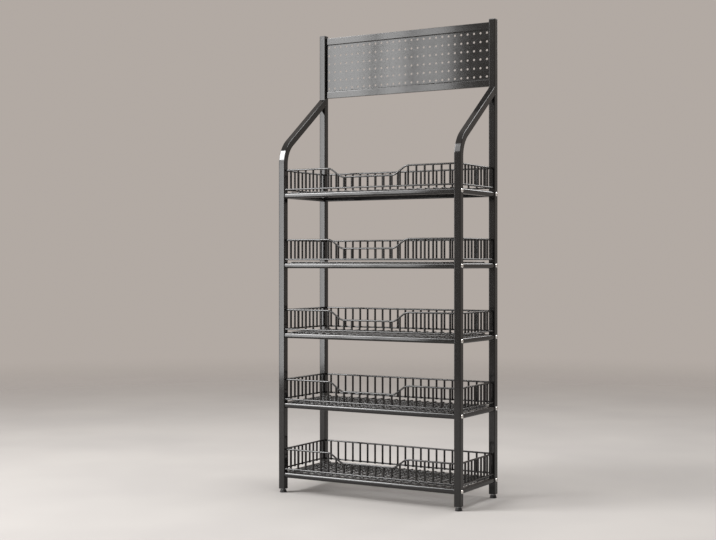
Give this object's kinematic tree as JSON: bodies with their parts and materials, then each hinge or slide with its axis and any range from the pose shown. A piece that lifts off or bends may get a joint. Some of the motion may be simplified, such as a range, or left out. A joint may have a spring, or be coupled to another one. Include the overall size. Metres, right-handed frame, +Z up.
{
  "type": "snack display rack",
  "caption": "Free-standing dark metal snack display rack with wire-guarded tiers, bent front posts, a perforated header panel and levelling feet.",
  "frame": {"origin": "on the floor, under the middle of the rack", "axes": "+Z up from the floor, -Y out of the front where goods are taken, +X to the right as seen from the front"},
  "size_m": [0.759, 0.3146, 1.745],
  "materials": {
    "powder_coat": "semi-gloss near-black powder coat",
    "black_plastic": "fine matt moulded plastic",
    "bright_steel": "bright nickel-plated bolt heads",
    "zinc_steel": "dull zinc plate"
  },
  "bodies": {
    "rack": {"left_front_post": "powder_coat", "left_rear_post": "powder_coat", "left_side_rails": "powder_coat", "left_post_cap": "black_plastic", "right_front_post": "powder_coat", "right_rear_post": "powder_coat", "right_side_rails": "powder_coat", "right_post_cap": "black_plastic", "front_rail_1": "powder_coat", "rear_rail_1": "powder_coat", "front_guard_1": "powder_coat", "rear_guard_1": "powder_coat", "left_guard_1": "powder_coat", "right_guard_1": "powder_coat", "floor_grid_1": "powder_coat", "front_rail_2": "powder_coat", "rear_rail_2": "powder_coat", "front_guard_2": "powder_coat", "rear_guard_2": "powder_coat", "left_guard_2": "powder_coat", "right_guard_2": "powder_coat", "floor_grid_2": "powder_coat", "front_rail_3": "powder_coat", "rear_rail_3": "powder_coat", "front_guard_3": "powder_coat", "rear_guard_3": "powder_coat", "left_guard_3": "powder_coat", "right_guard_3": "powder_coat", "floor_grid_3": "powder_coat", "front_rail_4": "powder_coat", "rear_rail_4": "powder_coat", "front_guard_4": "powder_coat", "rear_guard_4": "powder_coat", "left_guard_4": "powder_coat", "right_guard_4": "powder_coat", "floor_grid_4": "powder_coat", "front_rail_5": "powder_coat", "rear_rail_5": "powder_coat", "front_guard_5": "powder_coat", "rear_guard_5": "powder_coat", "left_guard_5": "powder_coat", "right_guard_5": "powder_coat", "floor_grid_5": "powder_coat", "header_panel": "powder_coat", "panel_screws": "zinc_steel", "rail_bolts": "bright_steel", "rail_nuts": "zinc_steel", "foot_inserts": "black_plastic"},
    "left_front_levelling_foot": {"left_front_foot": "black_plastic", "left_front_foot_stud": "zinc_steel"},
    "left_rear_levelling_foot": {"left_rear_foot": "black_plastic", "left_rear_foot_stud": "zinc_steel"},
    "right_front_levelling_foot": {"right_front_foot": "black_plastic", "right_front_foot_stud": "zinc_steel"},
    "right_rear_levelling_foot": {"right_rear_foot": "black_plastic", "right_rear_foot_stud": "zinc_steel"}
  },
  "joints": [
    {"name": "left_front_foot_travel", "type": "slide", "parent": "rack", "child": "left_front_levelling_foot", "axis": [0, 0, -1], "range_m": [0, 0.012]},
    {"name": "left_rear_foot_travel", "type": "slide", "parent": "rack", "child": "left_rear_levelling_foot", "axis": [0, 0, -1], "range_m": [0, 0.012]},
    {"name": "right_front_foot_travel", "type": "slide", "parent": "rack", "child": "right_front_levelling_foot", "axis": [0, 0, -1], "range_m": [0, 0.012]},
    {"name": "right_rear_foot_travel", "type": "slide", "parent": "rack", "child": "right_rear_levelling_foot", "axis": [0, 0, -1], "range_m": [0, 0.012]}
  ]
}
